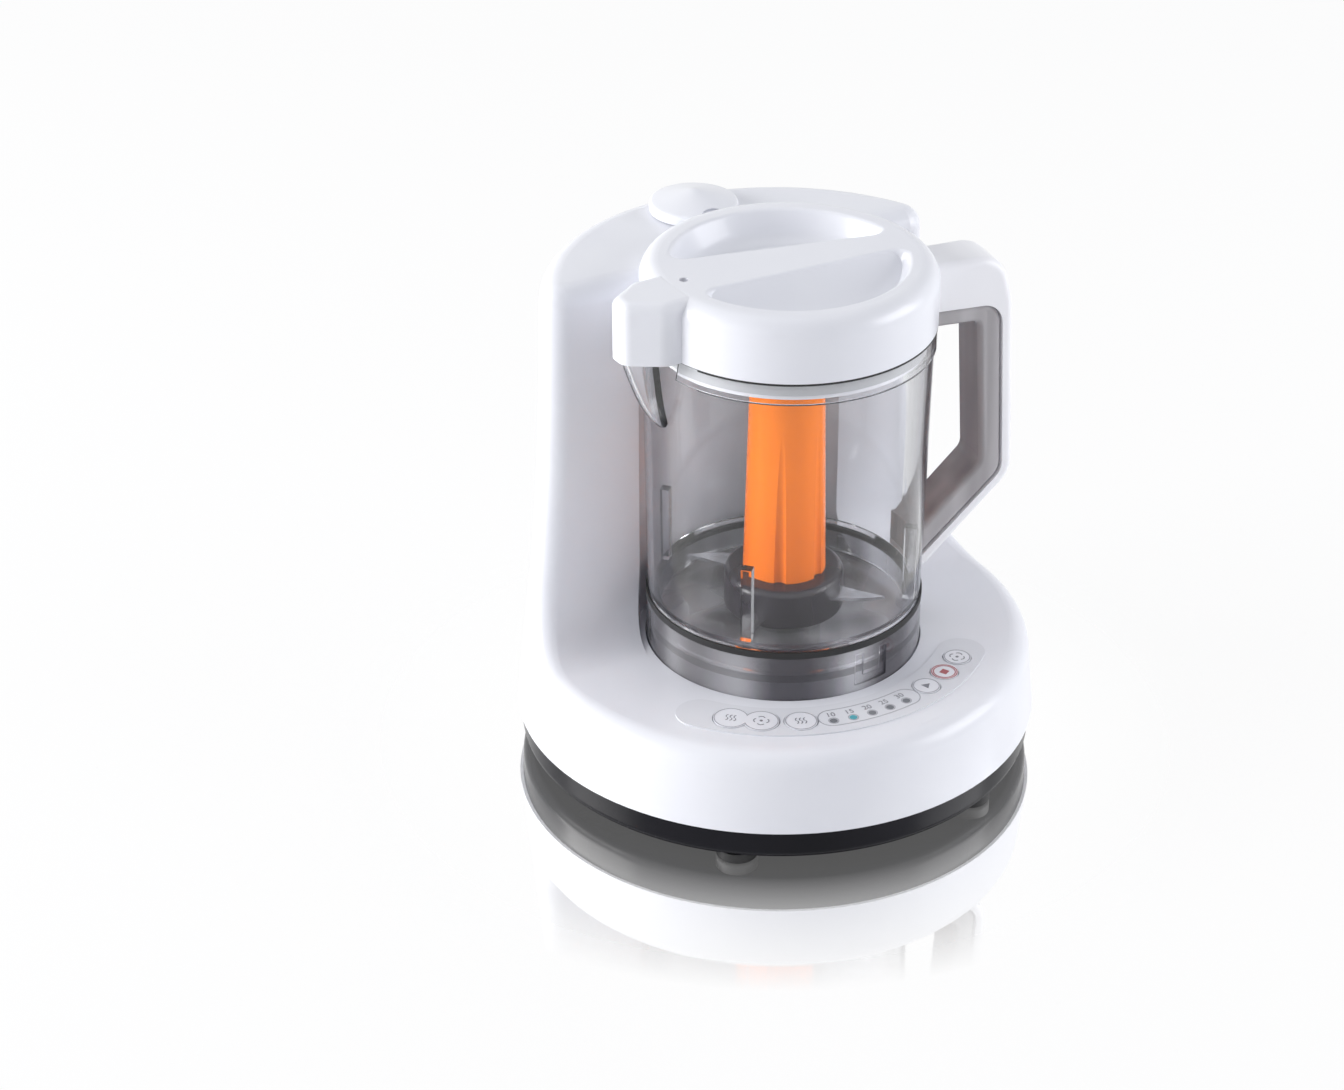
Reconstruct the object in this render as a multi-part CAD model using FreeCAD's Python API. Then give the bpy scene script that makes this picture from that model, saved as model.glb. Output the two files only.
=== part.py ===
import FreeCAD, Part
import math
import os

# Steam-and-blend baby food maker: a round base with a rear tower, a clear bowl with a blade,
# a lid and a reservoir cap. Millimetres, +Z up. The front faces -Y and the bowl's handle points
# along +X. The origin is on the floor, under the centre of the round base.

# Base and tower
base_radius = 114.5
parting_height = 19.5
waist_inset = 10.5
waist_height = 118.0
waist_bend = 1400.0
crown_inset = 13.2
tower_height = 221.0
tower_front = 31.0
tower_angle = 7.0
apron_height = 55.0
seat_bend = 30.0
edge_radius = 9.0
housing_wall = 2.6
niche_gap = 1.0

# Well under the bowl
bowl_y = -7.0
well_depth = 10.0
well_floor = 3.0
well_clearance = 0.5

# Bottom pan, feet and screws
pan_bottom = 5.0
pan_floor = 2.5
pan_rim_width = 3.2
pan_overhang = 1.4
pan_toe_inset = 2.0
pan_toe_bend = 4.5
foot_radius = 9.0
foot_inset = 13.0
foot_angle = 32.6
foot_stem_radius = 3.0
foot_edge = 1.2
vent_count = 9
vent_length = 34.0
vent_width = 3.0
vent_pitch = 8.0
vent_y = 36.0
screw_inset = 22.5
screw_angle = 66.0
screw_radius = 1.8
screw_head_radius = 3.4
screw_head_height = 2.4
screw_length = 16.0
boss_radius = 5.0
boss_height = 42.0
boss_rib = 2.4

# Control panel
panel_inset = 30.5
panel_half_width = 10.5
panel_thickness = 0.6
panel_start_angle = -46.0
panel_end_angle = 49.0
key_clearance = 0.35
key_depth = 3.0
key_rise = 0.3
key_travel = 0.6
key_radius = 6.0
steam_key_radius = 7.0
double_key_radius = 7.6
double_key_spread_angle = 8.8
double_key_angle = -32.4
steam_key_angle = -16.6
start_key_angle = 26.0
stop_key_angle = 35.6
blend_key_angle = 45.0
light_count = 5
light_radius = 1.7
light_row_offset = 2.0
light_first_angle = -7.4
light_last_angle = 16.2
board_drop = 7.5
board_thickness = 1.6
board_half_width = 10.75
board_offset = 3.25
board_end_angle = 1.5
board_post_radius = 2.5
board_post_offset = 11.0
switch_size = 6.0
switch_gap = 0.3

# Motor and coupling
flange_radius = 42.0
flange_thickness = 2.5
motor_radius = 33.0
motor_wall = 2.0
motor_bottom = 13.0
stator_thickness = 6.0
rotor_gap = 0.8
rotor_end_gap = 4.5
shaft_radius = 4.0
running_fit = 0.05
shaft_seal_radius = 9.0
shaft_seal_lip = 1.0
coupling_radius = 9.0
coupling_height = 10.5
shaft_share = 0.7
dog_count = 4
dog_reach = 13.0
dog_width = 5.0
dog_gap = 0.5
coupling_float = 0.5

# Steam boiler in the tower
boiler_inset = 36.5
boiler_angle = 6.0
boiler_half_width = 28.0
boiler_radius = 14.0
boiler_bottom = 62.0
neck_length = 71.0
boiler_wall = 1.5
heater_thickness = 4.0
stand_thickness = 2.0
stand_leg_width = 12.0
thermostat_radius = 5.5
thermostat_height = 7.0
neck_radius = 12.2
neck_wall = 1.8
neck_fit = 0.1
steam_drop = 8.0
steam_angle = 14.0
steam_pipe_radius = 3.0
steam_pipe_bore = 2.0
steam_pipe_bend = 8.0
steam_pipe_ring = 85.0
steam_seal_radius = 7.0
steam_seal_gap = 0.6

# Cord gland in the rear wall, with an open bore
gland_angle = 152.0
gland_height = 33.0
gland_bore = 3.4
gland_body = 5.2
gland_flange = 7.5
gland_flange_thickness = 2.2
gland_gap = 0.1

# Bowl collar, seal and jar
collar_step = 0.5
collar_wall = 3.0
collar_top = 75.5
collar_floor_top = 66.0
collar_floor = 3.5
rest_gap = 0.1
slot_count = 3
slot_first_angle = 9.0
slot_width = 4.0
slot_depth = 1.2
slot_rise = 15.0
slot_run = 13.0
seal_height = 2.9
seal_proud = 0.2
turn_gap = 0.3
jar_top_radius = 61.3
jar_taper = 1.8
jar_wall = 2.6
jar_bead_bottom = 197.0
jar_top = 206.0
jar_bead = 0.9
spigot_gap = 0.4
spigot_wall = 2.2
spigot_bottom = 67.0
rib_count = 4
rib_first_angle = -40.0
rib_width = 4.5
rib_depth = 4.0
rib_top = 116.0
spout_length = 18.7
spout_angle = 8.5
spout_half_width = 12.5
spout_bottom = 170.0
spout_wall = 2.2
spout_sections = 5
spout_first_section = 0.15

# Handle, measured outwards from the jar's rim
handle_half_width = 11.0
grip_top = 204.5
grip_bar = 7.5
grip_slope = 3.5
grip_knee = 33.2
grip_elbow = 37.2
grip_elbow_z = 119.5
grip_end_z = 83.0
grip_thickness = 10.5
grip_arm = 14.0
grip_bend = 10.0
grip_inner_bend = 6.0
grip_edge = 2.5
cover_thickness = 5.6
cover_drop = 7.8
cover_elbow_drop = 1.9
cover_top = 223.5
cover_shoulder = 15.0
cover_extra_width = 0.6
cover_edge = 3.5
cover_lid_gap = 0.9
cover_end_z = 79.8

# Blade
bushing_radius = 8.0
bushing_seat_radius = 11.0
bushing_rise = 3.0
bushing_drop = 1.5
spindle_radius = 5.0
blade_gap = 0.5
boss_disc_radius = 26.0
boss_disc_height = 18.5
blade_reach = 45.5
blade_thickness = 1.6
blade_root_width = 17.0
blade_bow = 8.0
blade_lead_bow = 2.0
blade_trail_bow = 2.7
lower_blade_rise = 2.5
upper_blade_rise = 11.0
lower_blade_angle = 35.0
hub_bottom_radius = 18.0
hub_top_radius = 16.0
hub_top = 178.0
hub_flutes = 6
hub_flute_radius = 3.2
hub_edge = 3.0
socket_wall = 3.5
socket_bottom_gap = 1.5

# Lid and gasket
lid_overhang = 1.2
lid_gap = 0.4
lid_top = 233.5
lid_edge = 8.0
lid_wall = 2.6
scoop_radius = 50.0
scoop_depth = 12.5
scoop_bend = 9.0
bar_spout_half_width = 17.0
bar_handle_half_width = 8.5
crest_edge = 2.2
beak_length = 20.1
beak_half_width = 14.7
beak_tip_half_width = 5.0
beak_tip_length = 15.0
beak_bend = 10.0
beak_tip_bend = 6.0
beak_overlap = 10.5
beak_edge = 4.5
plug_gap = 3.3
plug_wall = 2.4
plug_depth = 9.0
plug_lip = 1.8
gasket_gap = 0.3
gasket_fit = 0.45
vent_hole_radius = 2.0
vent_hole_reach = 49.0
vent_hole_angle = 4.3
port_radius = 4.0

# Reservoir cap
cap_radius = 19.5
cap_float = 0.4
cap_rim_height = 4.5
cap_dome = 5.5
cap_edge = 2.0
cap_plug_fit = 0.4
cap_plug_depth = 14.0
cap_plug_flange = 1.6
cap_post_radius = 6.5
cap_post_height = 4.0
cap_seal_width = 2.6
cap_seal_height = 1.4
arch_radius = 16.0
arch_height = 6.0
arch_depth = 7.0

# Places that follow from the sizes above
well_bottom = apron_height - well_depth
well_under = well_bottom - well_floor
pan_top_floor = pan_bottom + pan_floor
waist_radius = base_radius - waist_inset
crown_radius = base_radius - crown_inset
pan_toe_radius = base_radius - pan_toe_inset
foot_ring_radius = base_radius - foot_inset
screw_ring_radius = base_radius - screw_inset
panel_radius = base_radius - panel_inset
light_row_radius = panel_radius + light_row_offset
jar_foot_radius = jar_top_radius - jar_taper
collar_radius = jar_foot_radius + collar_step
lid_radius = jar_top_radius + lid_overhang
plug_radius = jar_top_radius - jar_wall - plug_gap
niche_radius = lid_radius + niche_gap
grip_knee_x = jar_top_radius + grip_knee
grip_elbow_x = jar_top_radius + grip_elbow
boiler_y = base_radius - boiler_inset
boiler_top = tower_height - neck_length
steam_height = tower_height - steam_drop
well_radius = collar_radius + well_clearance
jar_bottom = collar_top + seal_height + turn_gap
lid_bottom = jar_top + lid_gap
quarter_turn = 90.0
tiny = 1e-4
sharp_angle = 25.0
fold_angle = 177.5
up = FreeCAD.Vector(0, 0, 1)


def vector(x, y, z):
    return FreeCAD.Vector(x, y, z)


def cylinder(radius, low, high, x=0.0, y=0.0):
    return Part.makeCylinder(radius, high - low, vector(x, y, low))


def bowl_cylinder(radius, low, high):
    """A cylinder on the bowl's axis."""
    return cylinder(radius, low, high, 0.0, bowl_y)


def tube(inner, outer, low, high, x=0.0, y=0.0):
    return cylinder(outer, low, high, x, y).cut(cylinder(inner, low, high, x, y))


def bowl_tube(inner, outer, low, high):
    return tube(inner, outer, low, high, 0.0, bowl_y)


def block(x_span, y_span, z_span):
    corner = vector(x_span[0], y_span[0], z_span[0])
    size = [span[1] - span[0] for span in (x_span, y_span, z_span)]
    return Part.makeBox(size[0], size[1], size[2], corner)


def around_bowl(shape, angle):
    """Turn a shape about the bowl's axis by an angle in degrees."""
    turned = shape.copy()
    turned.rotate(vector(0, bowl_y, 0), up, angle)
    return turned


def around_base(shape, angle):
    turned = shape.copy()
    turned.rotate(vector(0, 0, 0), up, angle)
    return turned


def tower_cylinder(radius, low, high):
    """A cylinder on the axis of the filler neck."""
    return around_base(cylinder(radius, low, high, 0.0, boiler_y), boiler_angle)


def tower_tube(inner, outer, low, high):
    return tower_cylinder(outer, low, high).cut(tower_cylinder(inner, low, high))


def front_point(radius, angle, height):
    """A point at an angle from the front (-Y), counted towards the right (+X)."""
    turn = math.radians(angle)
    return vector(radius * math.sin(turn), -radius * math.cos(turn), height)


def corner_arc(before, corner, after, radius):
    """Start, middle and end of the arc that rounds one corner of an outline."""
    to_before = (before - corner).normalize()
    to_after = (after - corner).normalize()
    half = to_before.getAngle(to_after) / 2
    reach = radius / math.tan(half)
    middle = (to_before + to_after).normalize() * (radius / math.sin(half) - radius)
    return corner + to_before * reach, corner + middle, corner + to_after * reach


def rounded_wire(points, place):
    """A closed wire through (a, b, corner radius) points, put in space by place(a, b)."""
    corners = [place(point[0], point[1]) for point in points]
    radii = [point[2] for point in points]
    count = len(corners)
    stations = []
    for index, corner in enumerate(corners):
        if radii[index] > 0:
            before = corners[index - 1]
            after = corners[(index + 1) % count]
            stations.append(corner_arc(before, corner, after, radii[index]))
        else:
            stations.append((corner, None, corner))
    edges = []
    for index, (start, middle, end) in enumerate(stations):
        if middle is not None:
            edges.append(Part.Arc(start, middle, end).toShape())
        following = stations[(index + 1) % count][0]
        if end.distanceToPoint(following) > tiny:
            edges.append(Part.LineSegment(end, following).toShape())
    return Part.Wire(edges)


def turned(points, y=0.0):
    """A solid of revolution about the vertical line at y, from (radius, height, corner) points."""
    wire = rounded_wire(points, lambda radius, height: vector(radius, y, height))
    return Part.Face(wire).revolve(vector(0, y, 0), up, 360)


def extruded_side(points, half_width, y=0.0):
    """An outline in the X-Z plane, extruded to both sides of y."""
    wire = rounded_wire(points, lambda x, z: vector(x, y - half_width, z))
    return Part.Face(wire).extrude(vector(0, 2 * half_width, 0))


def sharp_edges(shape, low, high=math.inf):
    """Edges between two heights where two faces meet at a clear angle."""
    lowest, highest = math.radians(sharp_angle), math.radians(fold_angle)
    found = []
    for edge in shape.Edges:
        faces = shape.ancestorsOfType(edge, Part.Face)
        box = edge.BoundBox
        if len(faces) != 2 or box.ZMax < low or box.ZMin > high:
            continue
        middle = edge.valueAt((edge.FirstParameter + edge.LastParameter) / 2)
        normals = [face.normalAt(*face.Surface.parameter(middle)) for face in faces]
        if lowest < normals[0].getAngle(normals[1]) < highest:
            found.append(edge)
    return found


def arc_slot(radius, half_width, start, end, low, high):
    """A slot that follows a circle about the base's centre, with round ends."""
    sweep = end - start
    outer = Part.makeCylinder(radius + half_width, high - low, vector(0, 0, low), up, sweep)
    inner = Part.makeCylinder(radius - half_width, high - low, vector(0, 0, low), up, sweep)
    body = around_base(outer.cut(inner), start - quarter_turn)
    for angle in (start, end):
        centre = front_point(radius, angle, low)
        body = body.fuse(Part.makeCylinder(half_width, high - low, centre))
    return body.removeSplitter()


# Housing

def seat_space(inset):
    """What is cut away over the apron and in front of the tower, turned with the tower."""
    reach = 3 * base_radius
    ceiling = 2 * tower_height
    points = [
        (-reach, apron_height - inset, 0),
        (tower_front + inset, apron_height - inset, seat_bend + inset),
        (tower_front + inset, ceiling, 0),
        (-reach, ceiling, 0),
    ]
    wire = rounded_wire(points, lambda y, z: vector(-reach, y, z))
    return around_base(Part.Face(wire).extrude(vector(2 * reach, 0, 0)), tower_angle)


def chair_body(inset):
    """Base and tower in one block, with every face moved inwards by inset."""
    points = [
        (0, parting_height, 0),
        (base_radius - inset, parting_height, 0),
        (waist_radius - inset, waist_height, waist_bend),
        (crown_radius - inset, tower_height - inset, 0),
        (0, tower_height - inset, 0),
    ]
    body = turned(points).cut(seat_space(inset))
    edges = sharp_edges(body, parting_height + edge_radius)
    return body.makeFillet(edge_radius - inset, edges)


def housing_void():
    """The hollow inside the housing, clear of the niche wall and the well cup."""
    void = chair_body(housing_wall)
    niche_wall = bowl_cylinder(niche_radius + housing_wall, apron_height - housing_wall, tower_height)
    well_cup = bowl_cylinder(well_radius + housing_wall, well_under, apron_height)
    return void.cut(niche_wall).cut(well_cup)


def screw_places(height):
    return [front_point(screw_ring_radius, sign * angle, height)
            for angle in (screw_angle, 180 - screw_angle) for sign in (-1, 1)]


def screw_bosses(outer):
    """Columns that take the housing screws, each tied to the outer wall by a rib."""
    column = Part.makeCylinder(boss_radius, boss_height - pan_top_floor,
                               front_point(screw_ring_radius, 0, pan_top_floor))
    rib = block((-boss_rib / 2, boss_rib / 2), (-base_radius, -screw_ring_radius),
                (parting_height, boss_height))
    angles = (screw_angle, 180 - screw_angle, -screw_angle, screw_angle - 180)
    return [around_base(column.fuse(rib.common(outer)), angle) for angle in angles]


def screw_pilot_holes():
    holes = [Part.makeCylinder(screw_radius, screw_length, place)
             for place in screw_places(pan_top_floor)]
    return Part.makeCompound(holes)


def round_key(angle, radius, low, high):
    return Part.makeCylinder(radius, high - low, front_point(panel_radius, angle, low))


def double_key(grow, low, high):
    """Two overlapping round keys in one piece."""
    half_spread = double_key_spread_angle / 2
    rounds = [round_key(double_key_angle + side * half_spread, double_key_radius + grow, low, high)
              for side in (-1, 1)]
    return rounds[0].fuse(rounds[1]).removeSplitter()


def key_shapes(grow, low, high):
    """Name and solid of every key, larger by grow all round."""
    keys = {"button_steam_blend": double_key(grow, low, high)}
    keys["button_steam"] = round_key(steam_key_angle, steam_key_radius + grow, low, high)
    for name, angle in (("start", start_key_angle), ("stop", stop_key_angle), ("blend", blend_key_angle)):
        keys["button_" + name] = round_key(angle, key_radius + grow, low, high)
    return keys


def light_angles():
    step = (light_last_angle - light_first_angle) / (light_count - 1)
    return [light_first_angle + index * step for index in range(light_count)]


def panel_holes(low, high):
    """Openings for the keys and the lights."""
    holes = list(key_shapes(key_clearance, low, high).values())
    for angle in light_angles():
        centre = front_point(light_row_radius, angle, low)
        holes.append(Part.makeCylinder(light_radius, high - low, centre))
    return Part.makeCompound(holes)


def board_posts():
    """Short posts that hold the control board under the apron."""
    low = apron_height - board_drop
    height = board_drop - housing_wall
    middle = (light_first_angle + steam_key_angle) / 2
    angles = (panel_start_angle, middle, panel_end_angle)
    ring = panel_radius + board_post_offset
    posts = [Part.makeCylinder(board_post_radius, height, front_point(ring, angle, low))
             for angle in angles]
    return Part.makeCompound(posts)


def steam_axis_point(distance):
    turn = math.radians(steam_angle)
    return vector(distance * math.sin(turn), bowl_y + distance * math.cos(turn), steam_height)


def steam_rod(radius, start, end):
    """A round rod along the steam outlet, between two distances from the bowl's axis."""
    first = steam_axis_point(start)
    direction = steam_axis_point(end) - first
    return Part.makeCylinder(radius, direction.Length, first, direction)


def wall_radius(height):
    """Radius of the straight lower part of the housing's outer wall."""
    slope = (base_radius - waist_radius) / (waist_height - parting_height)
    return base_radius - slope * (height - parting_height)


def gland_rod(radius, start, end):
    first = front_point(start, gland_angle, gland_height)
    direction = front_point(end, gland_angle, gland_height) - first
    return Part.makeCylinder(radius, direction.Length, first, direction)


def upper_housing():
    outer = chair_body(0.0)
    body = outer.cut(housing_void())
    for boss in screw_bosses(outer):
        body = body.fuse(boss)
    body = body.fuse(board_posts())
    body = body.cut(bowl_cylinder(niche_radius, apron_height, 2 * tower_height))
    body = body.cut(bowl_cylinder(well_radius, well_bottom, apron_height))
    body = body.cut(bowl_cylinder(shaft_seal_radius, well_under, well_bottom))
    body = body.cut(screw_pilot_holes())
    body = body.cut(panel_holes(apron_height - housing_wall, apron_height))
    neck_outer = neck_radius + neck_wall + neck_fit
    body = body.cut(tower_cylinder(neck_outer, tower_height - edge_radius, tower_height))
    body = body.cut(steam_rod(steam_seal_radius, lid_radius, niche_radius + 2 * housing_wall))
    wall = wall_radius(gland_height)
    body = body.cut(gland_rod(gland_body, wall - 3 * housing_wall, wall + housing_wall))
    return body


# Pan, feet and screws

def foot_places(height):
    return {"front_left": front_point(foot_ring_radius, -foot_angle, height),
            "front_right": front_point(foot_ring_radius, foot_angle, height),
            "rear_left": front_point(foot_ring_radius, foot_angle - 180, height),
            "rear_right": front_point(foot_ring_radius, 180 - foot_angle, height)}


def bottom_pan():
    rim = base_radius - pan_overhang
    points = [
        (0, pan_bottom, 0),
        (pan_toe_radius, pan_bottom, pan_toe_bend),
        (rim, parting_height, 0),
        (rim - pan_rim_width, parting_height, 0),
        (pan_toe_radius - pan_rim_width, pan_top_floor, pan_toe_bend / 2),
        (0, pan_top_floor, 0),
    ]
    pan = turned(points)
    for place in foot_places(pan_bottom).values():
        pan = pan.cut(Part.makeCylinder(foot_stem_radius, pan_floor, place))
    for place in screw_places(pan_bottom):
        pan = pan.cut(Part.makeCylinder(screw_radius, pan_floor, place))
    for index in range(vent_count):
        middle = (index - (vent_count - 1) / 2) * vent_pitch
        pan = pan.cut(block((middle - vent_width / 2, middle + vent_width / 2),
                            (vent_y - vent_length / 2, vent_y + vent_length / 2),
                            (pan_bottom, pan_top_floor)))
    return pan


def foot(place):
    """A rubber foot with its stem pressed into the pan."""
    points = [
        (0, 0, 0),
        (foot_radius, 0, foot_edge),
        (foot_radius, pan_bottom, 0),
        (foot_stem_radius, pan_bottom, 0),
        (foot_stem_radius, pan_top_floor, 0),
        (0, pan_top_floor, 0),
    ]
    body = turned(points)
    body.translate(vector(place.x, place.y, 0))
    return body


def housing_screw(place):
    head = Part.makeCylinder(screw_head_radius, screw_head_height,
                             vector(place.x, place.y, pan_bottom - screw_head_height))
    shank = Part.makeCylinder(screw_radius, pan_floor + screw_length, vector(place.x, place.y, pan_bottom))
    return head.fuse(shank)


# Control panel

def control_panel():
    low = apron_height
    high = apron_height + panel_thickness
    plate = arc_slot(panel_radius, panel_half_width, panel_start_angle, panel_end_angle, low, high)
    return plate.cut(panel_holes(low, high))


def timer_light(angle):
    low = apron_height - board_drop
    return Part.makeCylinder(light_radius, board_drop + panel_thickness,
                             front_point(light_row_radius, angle, low))


def control_board():
    """Board with one switch under each key, held by the posts of the housing."""
    top = apron_height - board_drop
    low = top - board_thickness
    board = arc_slot(panel_radius + board_offset, board_half_width,
                     panel_start_angle + board_end_angle, panel_end_angle - board_end_angle, low, top)
    switch_top = apron_height - key_depth - key_travel - switch_gap
    angles = (double_key_angle, steam_key_angle, start_key_angle, stop_key_angle, blend_key_angle)
    for angle in angles:
        half = switch_size / 2
        switch = block((-half, half), (-panel_radius - half, half - panel_radius), (top, switch_top))
        board = board.fuse(around_base(switch, angle))
    return board


# Motor and coupling

def motor_flange():
    """Bearing plate that hangs the motor from the well's floor."""
    low = well_under - flange_thickness
    return bowl_tube(shaft_radius + running_fit, flange_radius, low, well_under)


def motor_can():
    top = well_under - flange_thickness
    shell = bowl_tube(motor_radius - motor_wall, motor_radius, motor_bottom, top)
    end = bowl_tube(shaft_radius + running_fit, motor_radius, motor_bottom, motor_bottom + motor_wall)
    return shell.fuse(end).removeSplitter()


def motor_stator():
    outer = motor_radius - motor_wall
    low = motor_bottom + motor_wall
    return bowl_tube(outer - stator_thickness, outer, low, well_under - flange_thickness)


def rotor_core():
    radius = motor_radius - motor_wall - stator_thickness - rotor_gap
    low = motor_bottom + rotor_end_gap
    high = well_under - flange_thickness - rotor_end_gap / 2
    return bowl_tube(shaft_radius, radius, low, high)


def coupling_bottom():
    return well_bottom + shaft_seal_lip + coupling_float


def motor_shaft():
    top = coupling_bottom() + coupling_height * shaft_share
    return bowl_cylinder(shaft_radius, motor_bottom - motor_wall / 2, top)


def dog_star(radius, reach, width, low, high):
    """A round core with dogs, used for the coupling and, grown by a gap, for its socket."""
    star = bowl_cylinder(radius, low, high)
    for index in range(dog_count):
        arm = block((0, reach), (bowl_y - width / 2, bowl_y + width / 2), (low, high))
        star = star.fuse(around_bowl(arm, index * 360 / dog_count))
    return star.removeSplitter()


def drive_coupling():
    low = coupling_bottom()
    star = dog_star(coupling_radius, dog_reach, dog_width, low, low + coupling_height)
    return star.cut(motor_shaft())


def shaft_seal():
    """Rubber lip seal in the well's floor."""
    return bowl_tube(shaft_radius + running_fit, shaft_seal_radius, well_under,
                     well_bottom + shaft_seal_lip)


# Boiler

def boiler_block(radius, low, high):
    """An upright block with half-round ends, as wide as the boiler."""
    body = block((-boiler_half_width, boiler_half_width), (boiler_y - radius, boiler_y + radius), (low, high))
    for side in (-1, 1):
        body = body.fuse(cylinder(radius, low, high, side * boiler_half_width, boiler_y))
    return around_base(body.removeSplitter(), boiler_angle)


def boiler_tank():
    inner = boiler_radius - boiler_wall
    hollow = boiler_block(inner, boiler_bottom + boiler_wall, boiler_top - boiler_wall)
    tank = boiler_block(boiler_radius, boiler_bottom, boiler_top).cut(hollow)
    tank = tank.cut(tower_cylinder(neck_radius, boiler_top - boiler_wall, boiler_top))
    foot_point = steam_axis_point(steam_pipe_ring)
    return tank.cut(cylinder(steam_pipe_bore, boiler_top - boiler_wall, boiler_top,
                             foot_point.x, foot_point.y))


def heating_plate():
    return boiler_block(boiler_radius, boiler_bottom - heater_thickness, boiler_bottom)


def boiler_stand():
    """Sheet bracket under the heating plate, with two legs on the pan."""
    top = boiler_bottom - heater_thickness
    under = top - stand_thickness
    stand = boiler_block(boiler_radius, under, top)
    half = stand_leg_width / 2
    for side in (-1, 1):
        middle = side * boiler_half_width
        leg = block((middle - stand_thickness / 2, middle + stand_thickness / 2),
                    (boiler_y - half, boiler_y + half), (pan_top_floor, under))
        foot_plate = block((middle - half, middle + half), (boiler_y - half, boiler_y + half),
                           (pan_top_floor, pan_top_floor + stand_thickness))
        stand = stand.fuse(around_base(leg.fuse(foot_plate), boiler_angle))
    return stand.removeSplitter()


def thermostat():
    high = boiler_bottom - heater_thickness - stand_thickness
    return tower_cylinder(thermostat_radius, high - thermostat_height, high)


def filler_neck():
    """Tube from the tower's top to the boiler, flush with the top."""
    outer = neck_radius + neck_wall
    return tower_tube(neck_radius, outer, boiler_top, tower_height)


def steam_pipe():
    """Bent tube from the boiler's top to the outlet in the niche."""
    end = steam_axis_point(niche_radius + housing_wall)
    corner = steam_axis_point(steam_pipe_ring)
    start = vector(corner.x, corner.y, boiler_top)
    bend_start, bend_middle, bend_end = corner_arc(start, corner, end, steam_pipe_bend)
    path = Part.Wire([Part.LineSegment(start, bend_start).toShape(),
                      Part.Arc(bend_start, bend_middle, bend_end).toShape(),
                      Part.LineSegment(bend_end, end).toShape()])
    tubes = []
    for radius in (steam_pipe_radius, steam_pipe_bore):
        section = Part.Wire([Part.Circle(start, up, radius).toShape()])
        tubes.append(path.makePipeShell([section], True, False))
    return tubes[0].cut(tubes[1])


def steam_seal():
    """Soft nozzle ring in the niche wall, a little short of the lid."""
    start = lid_radius + steam_seal_gap
    end = niche_radius + housing_wall
    return steam_rod(steam_seal_radius, start, end).cut(steam_rod(steam_pipe_radius, start, end))


def cord_gland():
    """Bushing where a mains lead would enter, with an open bore."""
    wall = wall_radius(gland_height)
    flange_start = wall_radius(gland_height - gland_flange) + gland_gap
    body = gland_rod(gland_body, wall - 2 * housing_wall, flange_start)
    flange = gland_rod(gland_flange, flange_start, flange_start + gland_flange_thickness)
    bore = gland_rod(gland_bore, wall - 3 * housing_wall, wall + 3 * housing_wall)
    return body.fuse(flange).cut(bore)


# Bowl collar and seal

def collar_slot():
    """A U-shaped lock recess in the collar's outer face, at the front."""
    low = well_bottom
    high = collar_top - seal_height
    skin = bowl_tube(collar_radius - slot_depth, collar_radius + slot_depth, low, high)
    half = slot_width / 2
    turn = math.degrees(slot_run / collar_radius)
    upright = block((-half, half), (bowl_y - 2 * collar_radius, bowl_y), (high - slot_rise, high))
    sweep = Part.makeCylinder(2 * collar_radius, slot_width, vector(0, bowl_y, high - slot_rise), up, turn)
    foot_run = around_bowl(sweep, -quarter_turn)
    return skin.common(upright.fuse(foot_run).fuse(around_bowl(upright, turn)))


def collar():
    low = well_bottom + rest_gap
    inner = collar_radius - collar_wall
    points = [
        (inner, low, 0),
        (collar_radius, low, 0),
        (collar_radius, collar_top, 0),
        (inner, collar_top, 0),
        (inner, collar_floor_top, 0),
        (bushing_seat_radius, collar_floor_top, 0),
        (bushing_seat_radius, collar_floor_top + bushing_rise, 0),
        (bushing_radius, collar_floor_top + bushing_rise, 0),
        (bushing_radius, collar_floor_top - collar_floor - bushing_drop, 0),
        (bushing_seat_radius, collar_floor_top - collar_floor - bushing_drop, 0),
        (bushing_seat_radius, collar_floor_top - collar_floor, 0),
        (inner, collar_floor_top - collar_floor, 0),
    ]
    body = turned(points, bowl_y)
    slot = collar_slot()
    for index in range(slot_count):
        body = body.cut(around_bowl(slot, slot_first_angle + index * 360 / slot_count))
    return body


def bowl_bushing():
    low = collar_floor_top - collar_floor - bushing_drop
    return bowl_tube(spindle_radius + running_fit, bushing_radius, low, collar_floor_top + bushing_rise)


def seal_ring():
    inner = collar_radius - collar_wall
    return bowl_tube(inner, collar_radius + seal_proud, collar_top, collar_top + seal_height)


# Jar

def jar_radius(height):
    share = (height - jar_bottom) / (jar_bead_bottom - jar_bottom)
    return jar_foot_radius + share * (jar_top_radius - jar_foot_radius)


def jar_shell_outline():
    """Outer and inner points of the jar's wall, with its foot spigot and rim bead."""
    spigot = collar_radius - collar_wall - spigot_gap
    bead = jar_top_radius + jar_bead
    return [
        (spigot, spigot_bottom, 0),
        (spigot, jar_bottom, 0),
        (jar_foot_radius, jar_bottom, 0),
        (jar_top_radius, jar_bead_bottom, 0),
        (bead, jar_bead_bottom, 0),
        (bead, jar_top, 0),
        (jar_top_radius - jar_wall, jar_top, 0),
        (jar_foot_radius - jar_wall, jar_bottom + jar_wall, 0),
        (spigot - spigot_wall, jar_bottom, 0),
        (spigot - spigot_wall, spigot_bottom, 0),
    ]


def jar_core():
    """The space inside the jar, used to open the spout and to trim the ribs."""
    points = [
        (0, jar_bottom, 0),
        (jar_foot_radius - jar_wall, jar_bottom, 0),
        (jar_top_radius - jar_wall, jar_top, 0),
        (0, jar_top, 0),
    ]
    return turned(points, bowl_y)


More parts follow.
